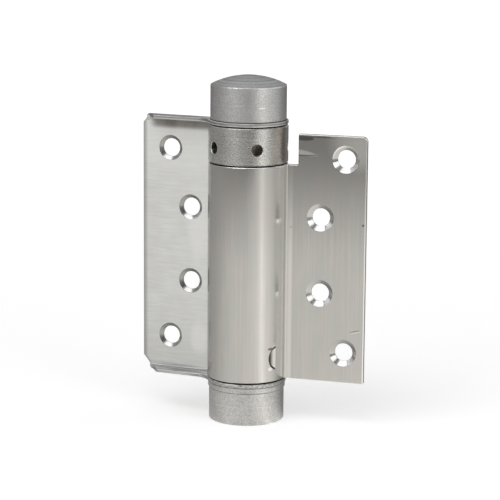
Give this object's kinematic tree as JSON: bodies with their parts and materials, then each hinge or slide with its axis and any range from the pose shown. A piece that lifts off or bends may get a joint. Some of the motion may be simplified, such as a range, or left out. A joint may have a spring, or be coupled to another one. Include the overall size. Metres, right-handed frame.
{
  "type": "single-action spring hinge",
  "caption": "Door hinge with a rolled barrel leaf, a folded frame leaf, a torsion spring and a turning tension collar on one spindle.",
  "frame": {"origin": "on the pivot axis, at mid height of the barrel leaf", "axes": "+Z along the pivot towards the domed cap, -X along the frame leaf, -Y out of the countersunk side of the frame leaf"},
  "size_m": [0.0721, 0.024, 0.1053],
  "materials": {
    "leaf_steel": "brushed",
    "cap_steel": "satin",
    "bar_steel": "turned",
    "spring_steel": "oiled",
    "bush_brass": "turned",
    "washer_nylon": "matt"
  },
  "bodies": {
    "frame": {"frame_leaf": "leaf_steel", "spindle": "bar_steel", "top_cap": "cap_steel", "bottom_cap": "cap_steel", "seat_ring": "cap_steel"},
    "barrel": {"barrel_leaf": "leaf_steel", "spring_anchor": "bar_steel", "lower_bush": "bush_brass", "lower_thrust_washer": "washer_nylon", "torsion_spring": "spring_steel"},
    "collar": {"tension_collar": "cap_steel", "upper_bush": "bush_brass", "upper_thrust_washer": "washer_nylon"}
  },
  "joints": [
    {"name": "leaf_swing", "type": "hinge", "parent": "frame", "child": "barrel", "pos_m": [0, 0, 0], "axis": [0, 0, -1], "range_deg": [-155, 186]},
    {"name": "collar_turn", "type": "hinge", "parent": "barrel", "child": "collar", "pos_m": [0, 0, 0], "axis": [0, 0, -1], "range_deg": [0, 216], "stiffness_Nm_per_rad": 0.9, "deforming": ["torsion_spring"]}
  ]
}
